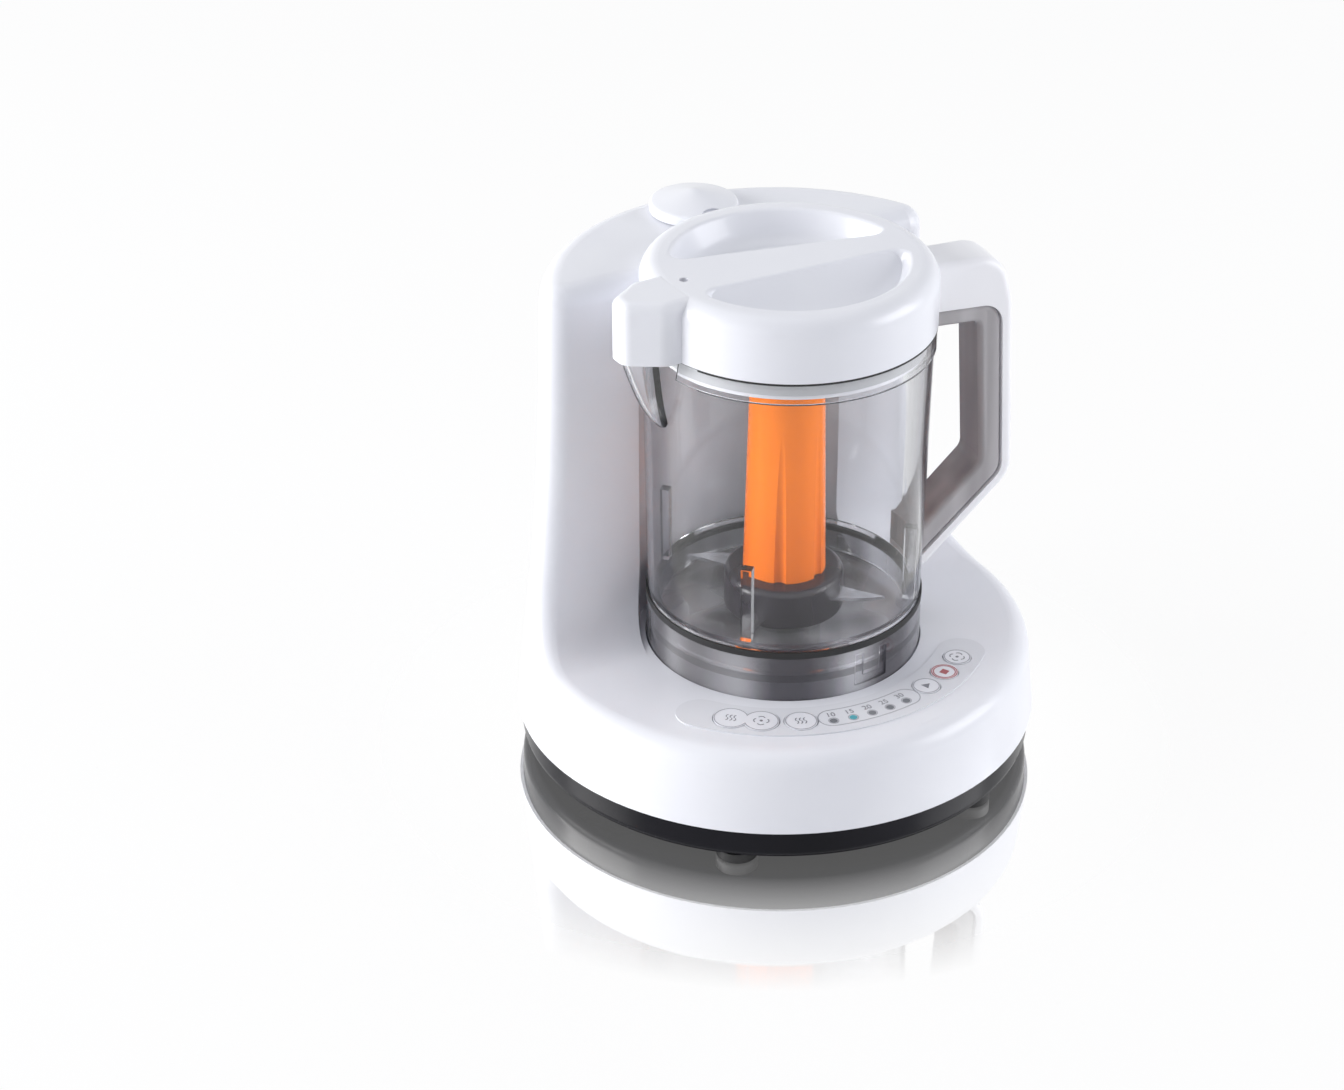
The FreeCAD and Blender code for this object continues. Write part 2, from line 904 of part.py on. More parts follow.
def spout_body(inset):
    """A boat-shaped spout that narrows to its lower tip on the jar's wall."""
    tip_x = jar_top_radius - jar_wall
    reach = jar_top_radius + spout_length - tip_x
    last_section = spout_sections - 1 + spout_first_section
    wires = []
    for index in range(spout_sections):
        share = (index + spout_first_section) / last_section
        swell = math.sqrt(share)
        half_length = reach * swell - inset
        half_width = spout_half_width * swell - inset
        height = spout_bottom + share * (jar_top - spout_bottom)
        centre = vector(-tip_x, bowl_y, height)
        oval = Part.Ellipse(centre, max(half_length, half_width), min(half_length, half_width))
        if half_length < half_width:
            oval.rotate(FreeCAD.Placement(centre, FreeCAD.Rotation(up, quarter_turn), vector(0, 0, 0)))
        wires.append(Part.Wire([oval.toShape()]))
    return around_bowl(Part.makeLoft(wires, True), spout_angle)


def jar_ribs():
    """Upright ribs inside the jar's lower wall."""
    ribs = []
    inner = jar_foot_radius - jar_wall
    for index in range(rib_count):
        rib = block((-rib_width / 2, rib_width / 2), (bowl_y - jar_foot_radius, bowl_y - inner + rib_depth),
                    (jar_bottom + jar_wall, rib_top))
        ribs.append(around_bowl(rib, rib_first_angle + index * 360 / rib_count))
    return ribs


def jar_outer():
    """The jar as a filled block, for trimming what stands against it."""
    bead = jar_top_radius + jar_bead
    points = [
        (0, jar_bottom, 0),
        (jar_foot_radius, jar_bottom, 0),
        (jar_top_radius, jar_bead_bottom, 0),
        (bead, jar_bead_bottom, 0),
        (bead, jar_top, 0),
        (0, jar_top, 0),
    ]
    return turned(points, bowl_y)


def jar():
    body = turned(jar_shell_outline(), bowl_y)
    core = jar_core()
    body = body.fuse(spout_body(0.0).cut(core))
    body = body.cut(spout_body(spout_wall))
    filled = jar_outer()
    for rib in jar_ribs():
        body = body.fuse(rib.common(filled))
    return body.removeSplitter()


# Handle

def grip_outline():
    """Outer corners of the grip, from the rim down to the lower end."""
    return [
        (0, grip_top, 0),
        (grip_knee_x, grip_top - grip_slope, grip_bend),
        (grip_elbow_x, grip_elbow_z, grip_bend),
        (jar_foot_radius, grip_end_z, 0),
        (0, grip_end_z, 0),
    ]


def grip_inside():
    """Inner corners of the grip, round the finger gap."""
    return [
        (0, grip_top - grip_bar, 0),
        (grip_knee_x - grip_thickness, grip_top - grip_slope - grip_bar, grip_inner_bend / 2),
        (grip_elbow_x - grip_thickness, grip_elbow_z + grip_thickness / 2, grip_inner_bend),
        (jar_foot_radius, grip_end_z + grip_arm, 0),
        (0, grip_end_z + grip_arm, 0),
    ]


def cover_outline():
    """Outer corners of the handle cover, with its raised thumb rest by the lid."""
    knee = grip_knee_x + cover_thickness
    elbow = grip_elbow_x + cover_thickness
    return [
        (0, cover_top, 0),
        (knee - cover_thickness, cover_top, cover_shoulder),
        (knee, grip_top - grip_slope, cover_shoulder),
        (elbow, grip_elbow_z - cover_elbow_drop, grip_bend + cover_thickness),
        (jar_foot_radius, grip_end_z - cover_drop, 0),
        (0, grip_end_z - cover_drop, 0),
    ]


def side_edges(shape, half_width, radius_from_axis):
    """Edges of both flat sides that lie further out than a radius from the bowl's axis."""
    found = []
    for edge in shape.Edges:
        box = edge.BoundBox
        on_side = box.YLength < tiny and abs(abs(box.YMin - bowl_y) - half_width) < tiny
        if on_side and box.XMax > radius_from_axis + jar_wall:
            found.append(edge)
    return found


def handle_grip():
    outer = extruded_side(grip_outline(), handle_half_width, bowl_y)
    inner = extruded_side(grip_inside(), 2 * handle_half_width, bowl_y)
    grip = outer.cut(inner)
    keep_out = jar_top_radius + jar_bead
    grip = grip.makeFillet(grip_edge, side_edges(grip, handle_half_width, keep_out))
    return grip.cut(jar_outer())


def handle_cover():
    half_width = handle_half_width + cover_extra_width
    cover = extruded_side(cover_outline(), half_width, bowl_y)
    inner = extruded_side(grip_outline(), 2 * half_width, bowl_y)
    keep_out = jar_top_radius + jar_bead
    cover = cover.makeFillet(cover_edge, side_edges(cover, half_width, keep_out)).cut(inner)
    cover = cover.cut(bowl_cylinder(lid_radius + cover_lid_gap, grip_top, 2 * cover_top))
    cover = cover.cut(cylinder(2 * base_radius, 0, cover_end_z))
    cover = cover.cut(jar_outer())
    return cover.cut(bowl_cylinder(collar_radius, 0, grip_top))


# Blade

def blade_bottom():
    return collar_floor_top + bushing_rise + blade_gap


def socket_span():
    low = well_bottom + socket_bottom_gap + shaft_seal_lip
    high = collar_floor_top - collar_floor - bushing_drop - blade_gap
    return low, high


def blade_socket():
    """Cup under the bowl that takes the motor's coupling."""
    low, high = socket_span()
    cup = bowl_cylinder(dog_reach + socket_wall, low, high)
    cavity_top = coupling_bottom() + coupling_height + dog_gap
    star = dog_star(coupling_radius + dog_gap, dog_reach + dog_gap, dog_width + 2 * dog_gap, low, cavity_top)
    return cup.cut(star)


def blade_spindle():
    return bowl_cylinder(spindle_radius, socket_span()[1], blade_bottom() + boss_disc_height)


def boss_disc():
    """Dark foot of the blade carrier, round the spindle."""
    low = blade_bottom()
    high = low + boss_disc_height
    points = [
        (spindle_radius, low, 0),
        (boss_disc_radius, low, hub_edge / 2),
        (boss_disc_radius, high, hub_edge),
        (spindle_radius, high, 0),
    ]
    return turned(points, bowl_y).cut(lower_blade()).cut(upper_blade())


def blade_plate(rise, angle):
    """A steel strip through the boss, with a curved wing on each side and a hole for the spindle."""
    low = blade_bottom() + rise
    half = blade_root_width / 2
    middle = blade_reach / 2
    tip = vector(blade_reach, bowl_y + blade_bow, low)
    lead = Part.Arc(vector(0, bowl_y - half, low), vector(middle, bowl_y - half + blade_lead_bow, low), tip)
    trail = Part.Arc(tip, vector(middle, bowl_y + half - blade_trail_bow, low), vector(0, bowl_y + half, low))
    root = Part.LineSegment(vector(0, bowl_y + half, low), vector(0, bowl_y - half, low))
    wire = Part.Wire([lead.toShape(), trail.toShape(), root.toShape()])
    wing = Part.Face(wire).extrude(vector(0, 0, blade_thickness))
    strip = wing.fuse(around_bowl(wing, 180)).removeSplitter()
    strip = strip.cut(bowl_cylinder(spindle_radius, low, low + blade_thickness))
    return around_bowl(strip, angle)


def lower_blade():
    return blade_plate(lower_blade_rise, lower_blade_angle)


def upper_blade():
    return blade_plate(upper_blade_rise, lower_blade_angle + quarter_turn)


def blade_hub():
    """Tall grip of the blade, with shallow flutes."""
    low = blade_bottom() + boss_disc_height
    points = [
        (0, low, 0),
        (hub_bottom_radius, low, 0),
        (hub_top_radius, hub_top, hub_edge),
        (0, hub_top, 0),
    ]
    hub = turned(points, bowl_y)
    ring = hub_bottom_radius + hub_flute_radius / 2
    for index in range(hub_flutes):
        flute = cylinder(hub_flute_radius, low, hub_top, 0, bowl_y - ring)
        hub = hub.cut(around_bowl(flute, (index + 0.5) * 360 / hub_flutes))
    return hub


# Lid

def scoop(side):
    """One finger hollow of the lid, on the front (-1) or the rear (+1) of the tapered grip bar."""
    low = lid_top - scoop_depth
    points = [
        (0, low, 0),
        (scoop_radius - scoop_depth / 2, low, scoop_bend),
        (scoop_radius, lid_top, 0),
        (0, lid_top, 0),
    ]
    dish = turned(points, bowl_y)
    outline = [
        (-scoop_radius, bowl_y + side * bar_spout_half_width, 0),
        (scoop_radius, bowl_y + side * bar_handle_half_width, 0),
        (scoop_radius, bowl_y + side * 2 * scoop_radius, 0),
        (-scoop_radius, bowl_y + side * 2 * scoop_radius, 0),
    ]
    wire = rounded_wire(outline, lambda x, y: vector(x, y, low))
    hollow = dish.common(Part.Face(wire).extrude(vector(0, 0, scoop_depth)))
    return hollow.makeFillet(scoop_bend / 2, sharp_edges(hollow, low, lid_top - scoop_depth / 2))


def beak(inset, low):
    """The part of the lid that reaches over the spout, pointed in plan."""
    tip = lid_radius + beak_length - inset
    shoulder = lid_radius + beak_length - beak_tip_length
    half = beak_half_width - inset
    tip_half = beak_tip_half_width - inset / 2
    root = lid_radius - beak_overlap
    outline = [
        (-root, half, 0),
        (-shoulder, half, beak_bend),
        (-tip, tip_half, beak_tip_bend - inset / 2),
        (-tip, -tip_half, beak_tip_bend - inset / 2),
        (-shoulder, -half, beak_bend),
        (-root, -half, 0),
    ]
    wire = rounded_wire(outline, lambda x, y: vector(x, bowl_y + y, low))
    return around_bowl(Part.Face(wire).extrude(vector(0, 0, lid_top - inset - low)), spout_angle)


def top_edges(edges):
    """Those of the edges that lie in the lid's top plane."""
    return [edge for edge in edges if edge.BoundBox.ZMin > lid_top - turn_gap]


def lid():
    disc = bowl_cylinder(lid_radius, lid_bottom, lid_top)
    disc = disc.makeFillet(lid_edge, top_edges(disc.Edges))
    for side in (-1, 1):
        disc = disc.cut(scoop(side))
    disc = disc.makeFillet(crest_edge, top_edges(sharp_edges(disc, lid_bottom)))
    cover = beak(0.0, lid_bottom)
    cover = cover.makeFillet(beak_edge, top_edges(cover.Edges))
    body = disc.fuse(cover).cut(lid_void()).fuse(lid_plug())
    vent = cylinder(vent_hole_radius, lid_bottom, lid_top, -vent_hole_reach, bowl_y)
    body = body.cut(around_bowl(vent, vent_hole_angle))
    return body.cut(steam_rod(port_radius, plug_radius - 2 * plug_wall, niche_radius))


def lid_void():
    """The hollow under the lid, its grip bar and its beak."""
    floor = lid_top - scoop_depth - lid_wall
    inner = plug_radius - plug_wall
    void = bowl_cylinder(inner, lid_bottom, floor)
    half = bar_handle_half_width - lid_wall
    bar = block((-inner, inner), (bowl_y - half, bowl_y + half), (lid_bottom, lid_top - lid_wall))
    cover = beak(lid_wall, lid_bottom).cut(bowl_cylinder(lid_radius - lid_wall, 0, 2 * lid_top))
    return void.fuse(bar.common(bowl_cylinder(inner, lid_bottom, lid_top))).fuse(cover)


def lid_plug():
    """Ring under the lid that carries the gasket on its lower lip."""
    low = lid_bottom - plug_depth
    inner = plug_radius - plug_wall
    points = [
        (inner, low, 0),
        (plug_radius + plug_lip, low, 0),
        (plug_radius + plug_lip, low + plug_lip, 0),
        (plug_radius, low + plug_lip, 0),
        (plug_radius, lid_bottom, 0),
        (inner, lid_bottom, 0),
    ]
    return turned(points, bowl_y)


def lid_gasket():
    low = lid_bottom - plug_depth + plug_lip + gasket_gap
    outer = jar_radius(jar_bead_bottom) - jar_wall - gasket_fit
    return bowl_tube(plug_radius + gasket_gap, outer, low, lid_bottom - gasket_gap)


# Reservoir cap

def cap_plug():
    """Plug in the filler neck, with the post that the cap turns on."""
    radius = neck_radius - cap_plug_fit
    flange_low = tower_height + cap_float
    flange_high = flange_low + cap_plug_flange
    body = tower_cylinder(radius, tower_height - cap_plug_depth, flange_low)
    body = body.cut(cap_seal())
    flange = tower_cylinder(neck_radius + neck_wall, flange_low, flange_high)
    post = tower_cylinder(cap_post_radius, flange_high, flange_high + cap_post_height)
    return body.fuse(flange).fuse(post)


def cap_seal():
    """Ring in the plug's groove."""
    outer = neck_radius - cap_plug_fit / 2
    low = tower_height - cap_plug_depth / 2
    return tower_tube(outer - cap_seal_width, outer, low, low + cap_seal_height)


def reservoir_cap():
    """Low domed cap with a finger arch at its front."""
    low = tower_height + cap_float
    rim = low + cap_rim_height
    top = rim + cap_dome
    points = [
        (0, low, 0),
        (cap_radius, low, cap_edge / 2),
        (cap_radius, rim, cap_edge),
        (0, top, 0),
    ]
    cap = around_base(turned(points, boiler_y), boiler_angle)
    flange_high = low + cap_plug_flange + turn_gap
    cap = cap.cut(tower_cylinder(neck_radius + neck_wall + turn_gap, low, flange_high))
    cap = cap.cut(tower_cylinder(cap_post_radius + turn_gap, low, flange_high + cap_post_height))
    arch = Part.makeCylinder(arch_radius, arch_depth,
                             vector(0, boiler_y - cap_radius, low + arch_height - arch_radius),
                             vector(0, 1, 0))
    return cap.cut(around_base(arch, boiler_angle))


# All pieces, by node name

def build():
    nodes = {"upper_housing": upper_housing(), "bottom_pan": bottom_pan()}
    for name, place in foot_places(0).items():
        nodes["foot_" + name] = foot(place)
    for index, place in enumerate(screw_places(0)):
        nodes["housing_screw_%d" % (index + 1)] = housing_screw(place)
    nodes["control_panel"] = control_panel()
    key_low = apron_height - key_depth
    nodes.update(key_shapes(0.0, key_low, apron_height + panel_thickness + key_rise))
    for index, angle in enumerate(light_angles()):
        nodes["timer_light_%d" % (index + 1)] = timer_light(angle)
    nodes["control_board"] = control_board()
    nodes["motor_flange"] = motor_flange()
    nodes["motor_can"] = motor_can()
    nodes["motor_stator"] = motor_stator()
    nodes["rotor_core"] = rotor_core()
    nodes["motor_shaft"] = motor_shaft()
    nodes["drive_coupling"] = drive_coupling()
    nodes["shaft_seal"] = shaft_seal()
    nodes["boiler_tank"] = boiler_tank()
    nodes["heating_plate"] = heating_plate()
    nodes["boiler_stand"] = boiler_stand()
    nodes["thermostat"] = thermostat()
    nodes["filler_neck"] = filler_neck()
    nodes["steam_pipe"] = steam_pipe()
    nodes["steam_seal"] = steam_seal()
    nodes["cord_gland"] = cord_gland()
    nodes["collar"] = collar()
    nodes["bowl_bushing"] = bowl_bushing()
    nodes["seal_ring"] = seal_ring()
    nodes["jar"] = jar()
    nodes["handle_grip"] = handle_grip()
    nodes["handle_cover"] = handle_cover()
    nodes["blade_socket"] = blade_socket()
    nodes["blade_spindle"] = blade_spindle()
    nodes["boss_disc"] = boss_disc()
    nodes["lower_blade"] = lower_blade()
    nodes["upper_blade"] = upper_blade()
    nodes["blade_hub"] = blade_hub()
    nodes["lid"] = lid()
    nodes["lid_gasket"] = lid_gasket()
    nodes["cap_plug"] = cap_plug()
    nodes["cap_seal"] = cap_seal()
    nodes["reservoir_cap"] = reservoir_cap()
    return nodes


os.makedirs("parts", exist_ok=True)
for node_name, node_shape in build().items():
    node_shape.exportStep("parts/%s.step" % node_name)
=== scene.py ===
import bpy
import math
from mathutils import Matrix, Vector


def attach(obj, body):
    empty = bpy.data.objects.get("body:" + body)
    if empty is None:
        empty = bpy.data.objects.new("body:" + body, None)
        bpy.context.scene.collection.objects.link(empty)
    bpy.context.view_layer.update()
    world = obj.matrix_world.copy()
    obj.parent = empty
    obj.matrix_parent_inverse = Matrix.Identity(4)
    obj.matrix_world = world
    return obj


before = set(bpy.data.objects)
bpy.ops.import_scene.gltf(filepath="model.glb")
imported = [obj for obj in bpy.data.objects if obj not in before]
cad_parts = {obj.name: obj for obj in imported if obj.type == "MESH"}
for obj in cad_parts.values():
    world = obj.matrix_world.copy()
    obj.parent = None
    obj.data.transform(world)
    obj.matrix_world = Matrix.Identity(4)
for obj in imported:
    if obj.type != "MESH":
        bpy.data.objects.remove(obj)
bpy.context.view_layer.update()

# Sizes in metres in the frame of the solids, angles in degrees from the front
MM = 0.001
PRINT_THICKNESS = 0.08 * MM
SWEEP_STEP = 4
LEAST_STEPS = 6
WELD = 0.01 * MM

# Keys of the panel, and the outlines and signs on them
PANEL_RADIUS = 84 * MM
KEY_TOP = 55.9 * MM
KEY_LINE = 0.42 * MM
KEY_INSET = 0.5
INNER_KEY_INSET = 1.3
ROUND_KEYS = [("steam", -16.6, 7.0, "fine_print"), ("start", 26.0, 6.0, "fine_print"),
              ("stop", 35.6, 6.0, "red_print"), ("blend", 45.0, 6.0, "fine_print")]
DOUBLE_KEY_ANGLE = -32.4
DOUBLE_KEY_HALF = 4.4
DOUBLE_KEY_RADIUS = 7.1 * MM
SIGN_RADIUS = 2.3 * MM
WAVE_GAP = 1.7 * MM
WAVE_SHIFT = 0.6 * MM
WAVE_RISE = 1.0 * MM
WAVE_RADIUS = 1.15 * MM
WAVE_SWEEP = 116
DOT_CORNERS = 16
DOT_RADIUS = 0.7 * MM
BLADE_COUNT = 4
BLADE_REACH = 1.7 * MM
BLADE_RADIUS = 1.5 * MM
BLADE_LINE = 0.45 * MM
BLADE_START = -60
BLADE_SWEEP = 125

# Timer lights, their minutes and the outline round them
FILM_TOP = 55.6 * MM
LIGHT_RADIUS = 86 * MM
LIGHT_ANGLES = [-7.4, -1.5, 4.4, 10.3, 16.2]
MINUTES = ["10", "15", "20", "25", "30"]
MINUTES_INWARD = 4.6 * MM
MINUTES_SIZE = 4.2 * MM
LIGHT_RING_RADIUS = 2.3 * MM
LIGHT_RING_CORNERS = 64
TIMER_LINE = 0.4 * MM
TIMER_INWARD = 2.2 * MM
TIMER_HALF = 6.0 * MM
TIMER_MARGIN = 1.2

# Painted shadow in the gap under the lid's edge over the jar's rim, and painted shade along the lower edge
# of the rim's bead
BOWL_Y = -7 * MM
RIM_ARCS = [(-60, 138), (102, 140)]
GAP_SHADE_RADIUS = 62.36 * MM
GAP_SHADE_WIDTH = 0.18 * MM
GAP_SHADE_LOW = 205.4 * MM
GAP_SHADE_HEIGHT = 0.96 * MM
BEAD_SHADE_RADIUS = 61.8 * MM
BEAD_SHADE_WIDTH = 0.8 * MM
BEAD_SHADE_LOW = 196.5 * MM
BEAD_SHADE_HEIGHT = 0.48 * MM

# Slopes of the lid's grip bar in its finger hollows
SCOOP_RADIUS = 50 * MM
SCOOP_DEPTH = 12.5 * MM
SCOOP_FLOOR = 221.02 * MM
BAR_WIDE = 17 * MM
BAR_NARROW = 8.5 * MM
SLOPE_RADIUS = 40 * MM
SLOPE_TURN = math.radians(45)
SLOPE_STEPS = 24
SLOPE_INSET = 0.64 * MM
SLOPE_ROOT = 1.4 * MM
SLOPE_DISC = 53 * MM
SLOPE_DISC_CORNERS = 96
SMOOTH_ANGLE = math.radians(30)

# Plain and clear plastic, metal, and the sockets of the colour mix node
TONE_LOW = 0.35
TONE_HIGH = 0.65
PATCH_SCALE = 14.0
GRAIN_SCALE = 900.0
GRAIN_DEPTH = 0.00004
GRAIN_STRENGTH = 0.25
BRUSH_SCALE = 260.0
BRUSH_DEPTH = 0.00003
CLEAR_SCALE = 30.0
CLEAR_IOR = 1.38
CLEAR_SHINE = 0.1
CLEAR_DEPTH_COLOUR = (0.42, 0.46, 0.54, 1)
# Facing from which the painted shade on clear plastic seen on edge begins
EDGE_SHADE_START = 0.35
EVEN = (0.0, 1.0)
STREAKS = (0.38, 0.62)
COLOUR_A = 6
COLOUR_B = 7
COLOUR_OUT = 2

# White sweep, with a mirror at the object's foot that fades with the distance from the middle
SWEEP_SIZE = 14.0
SWEEP_LOW = -0.2 * MM
SWEEP_COLOUR = (0.9, 0.9, 0.91, 1)
SWEEP_ROUGH = 0.6
SWEEP_GLOW = 0.9
MIRROR_FULL = 118 * MM
MIRROR_END = 195 * MM
MIRROR_SHARE = 0.9
MIRROR_ROUGH = 0.03

# Studio light: strength from the front and from the sides, and the soft boxes
WORLD_COLOUR = (0.93, 0.95, 1.0, 1)
WORLD_FRONT = 0.12
WORLD_SIDES = 1.0
WHITE = (1, 1, 1, 1)
SOFT_BOXES = [
    ("left_box", (-1.65, 0.5, 0.65), (0, 0, 0.12), 1.2, 1.0, 31.0, (1.0, 0.99, 0.98)),
    ("right_box", (1.45, -0.75, 0.65), (0, 0, 0.12), 1.1, 1.0, 13.0, (0.98, 0.98, 1.0)),
    ("top_box", (0.1, 0.4, 1.7), (0, 0, 0.15), 1.2, 1.2, 2.0, (1.0, 1.0, 1.0)),
]

# Camera at the photograph's angle
CAMERA_AZIMUTH = math.radians(-24.0)
CAMERA_ELEVATION = math.radians(29.5)
CAMERA_ROLL = math.radians(0.96)
CAMERA_DISTANCE = 1.4
CAMERA_TARGET = Vector((-0.0154, -0.0270, 0.1179))
CAMERA_SENSOR = 36.0
CAMERA_LENS = 88.47
CAMERA_SHIFT = (-0.0737, -0.0112)


# Small helpers

def nothing_selected():
    if bpy.context.object is not None and bpy.context.object.mode != "OBJECT":
        bpy.ops.object.mode_set(mode="OBJECT")
    bpy.ops.object.select_all(action="DESELECT")


def only_selected(piece):
    nothing_selected()
    bpy.context.view_layer.objects.active = piece
    piece.select_set(True)


def front_point(radius, angle, height):
    turn = math.radians(angle)
    return Vector((radius * math.sin(turn), -radius * math.cos(turn), height))


def settle(piece, name, body, material):
    """Put the piece's place into its mesh, name it, and let it ride on its body."""
    only_selected(piece)
    bpy.ops.object.transform_apply(location=True, rotation=True, scale=True)
    piece.name = name
    piece.data.materials.clear()
    piece.data.materials.append(material)
    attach(piece, body)
    return piece


def joined(pieces):
    nothing_selected()
    for piece in pieces:
        piece.select_set(True)
    bpy.context.view_layer.objects.active = pieces[0]
    bpy.ops.object.join()
    return pieces[0]


def lone_edge(length, middle, turn):
    """One edge of a plane, selected in edit mode, to be spun. The middle is the plane's."""
    nothing_selected()
    bpy.ops.mesh.primitive_plane_add(size=length, location=middle, rotation=(0, 0, turn))
    piece = bpy.context.object
    for point in piece.data.vertices:
        point.select = point.co.y > 0
    for part in list(piece.data.edges) + list(piece.data.polygons):
        part.select = False
    bpy.ops.object.mode_set(mode="EDIT")
    bpy.ops.mesh.select_mode(type="VERT")
    bpy.ops.mesh.delete(type="VERT")
    bpy.ops.mesh.select_all(action="SELECT")
    return piece


def thicken(height):
    """Give the sheet in edit mode its thickness, with all faces turned outward."""
    bpy.ops.mesh.select_all(action="SELECT")
    bpy.ops.mesh.extrude_region_move(TRANSFORM_OT_translate={"value": (0, 0, height)})
    bpy.ops.mesh.select_all(action="SELECT")
    bpy.ops.mesh.normals_make_consistent(inside=False)


# Materials

def new_material(name):
    material = bpy.data.materials.new(name)
    material.use_nodes = True
    tree = material.node_tree
    return material, tree, tree.nodes["Principled BSDF"]


def object_noise(tree, scale, detail, stretch=None):
    """A noise on Object coordinates, stretched along an axis where asked."""
    place = tree.nodes.new("ShaderNodeTexCoord")
    noise = tree.nodes.new("ShaderNodeTexNoise")
    noise.inputs["Scale"].default_value = scale
    noise.inputs["Detail"].default_value = detail
    source = place.outputs["Object"]
    if stretch:
        mapping = tree.nodes.new("ShaderNodeMapping")
        mapping.inputs["Scale"].default_value = stretch
        tree.links.new(source, mapping.inputs["Vector"])
        source = mapping.outputs["Vector"]
    tree.links.new(source, noise.inputs["Vector"])
    return noise


def two_tones(tree, noise, first, second, places):
    """A colour that drifts with the noise between two tones."""
    ramp = tree.nodes.new("ShaderNodeValToRGB")
    for stop, place, colour in zip(ramp.color_ramp.elements, places, (first, second)):
        stop.position = place
        stop.color = (*colour, 1)
    tree.links.new(noise.outputs["Fac"], ramp.inputs["Fac"])
    return ramp.outputs["Color"]


def sheen_drift(tree, noise, shader, low, high):
    """Roughness that drifts a little over the surface."""
    span = tree.nodes.new("ShaderNodeMapRange")
    span.inputs["To Min"].default_value = low
    span.inputs["To Max"].default_value = high
    tree.links.new(noise.outputs["Fac"], span.inputs["Value"])
    tree.links.new(span.outputs["Result"], shader.inputs["Roughness"])


def grain(tree, shader, scale, depth, stretch=None):
    """Fine surface grain as a bump."""
    noise = object_noise(tree, scale, 2.0, stretch)
    bump = tree.nodes.new("ShaderNodeBump")
    bump.inputs["Strength"].default_value = GRAIN_STRENGTH
    bump.inputs["Distance"].default_value = depth
    tree.links.new(noise.outputs["Fac"], bump.inputs["Height"])
    tree.links.new(bump.outputs["Normal"], shader.inputs["Normal"])


def moulded(name, first, second, rough, grain_scale=GRAIN_SCALE, grain_depth=GRAIN_DEPTH, more=None):
    """Moulded plastic: two near tones, a drifting gloss, a fine grain, and more inputs where given."""
    material, tree, shader = new_material(name)
    noise = object_noise(tree, PATCH_SCALE, 3.0)
    colour = two_tones(tree, noise, first, second, (TONE_LOW, TONE_HIGH))
    tree.links.new(colour, shader.inputs["Base Color"])
    sheen_drift(tree, noise, shader, rough * 0.85, rough * 1.15)
    grain(tree, shader, grain_scale, grain_depth)
    for socket, value in (more or {}).items():
        shader.inputs[socket].default_value = value
    return material


def brushed(name, first, second, rough, stretch):
    """Metal with its tone, gloss and grain drawn out along one axis."""
    material, tree, shader = new_material(name)
    noise = object_noise(tree, BRUSH_SCALE, 3.0, stretch)
    colour = two_tones(tree, noise, first, second, (TONE_LOW, TONE_HIGH))
    tree.links.new(colour, shader.inputs["Base Color"])
    sheen_drift(tree, noise, shader, rough * 0.7, rough * 1.3)
    grain(tree, shader, GRAIN_SCALE, BRUSH_DEPTH, stretch)
    shader.inputs["Metallic"].default_value = 1.0
    return material


def painted_edge_shade(tree, noise, shader, first, second, edge, streaks):
    """Colour of a clear wall: two tones where it is seen square on, and painted shade that darkens it where
    it is seen on edge.
    """
    face = two_tones(tree, noise, first, second, streaks)
    slant = tree.nodes.new("ShaderNodeLayerWeight")
    span = tree.nodes.new("ShaderNodeMapRange")
    span.inputs["From Min"].default_value = EDGE_SHADE_START
    span.interpolation_type = "SMOOTHSTEP"
    tree.links.new(slant.outputs["Facing"], span.inputs["Value"])
    blend = tree.nodes.new("ShaderNodeMix")
    blend.data_type = "RGBA"
    blend.inputs[COLOUR_B].default_value = (*edge, 1)
    tree.links.new(span.outputs["Result"], blend.inputs["Factor"])
    tree.links.new(face, blend.inputs[COLOUR_A])
    tree.links.new(blend.outputs[COLOUR_OUT], shader.inputs["Base Color"])


def see_through(name, first, second, edge, rough, weight, shade, depth, stretch=None, streaks=EVEN):
    """Clear or smoky plastic that passes light and darkens where the wall is thick, with painted shade where
    the wall is seen on edge.
    """
    material, tree, shader = new_material(name)
    noise = object_noise(tree, CLEAR_SCALE, 1.0, stretch)
    painted_edge_shade(tree, noise, shader, first, second, edge, streaks)
    sheen_drift(tree, noise, shader, rough * 0.8, rough * 1.2)
    shader.inputs["Transmission Weight"].default_value = weight
    shader.inputs["IOR"].default_value = CLEAR_IOR
    shader.inputs["Specular IOR Level"].default_value = CLEAR_SHINE
    path = tree.nodes.new("ShaderNodeLightPath")
    clear = tree.nodes.new("ShaderNodeBsdfTransparent")
    clear.inputs["Color"].default_value = (*shade, 1)
    mix = tree.nodes.new("ShaderNodeMixShader")
    tree.links.new(path.outputs["Is Shadow Ray"], mix.inputs["Fac"])
    tree.links.new(shader.outputs["BSDF"], mix.inputs[1])
    tree.links.new(clear.outputs["BSDF"], mix.inputs[2])
    output = tree.nodes["Material Output"]
    tree.links.new(mix.outputs["Shader"], output.inputs["Surface"])
    absorb = tree.nodes.new("ShaderNodeVolumeAbsorption")
    absorb.inputs["Color"].default_value = CLEAR_DEPTH_COLOUR
    absorb.inputs["Density"].default_value = depth
    tree.links.new(absorb.outputs["Volume"], output.inputs["Volume"])
    return material


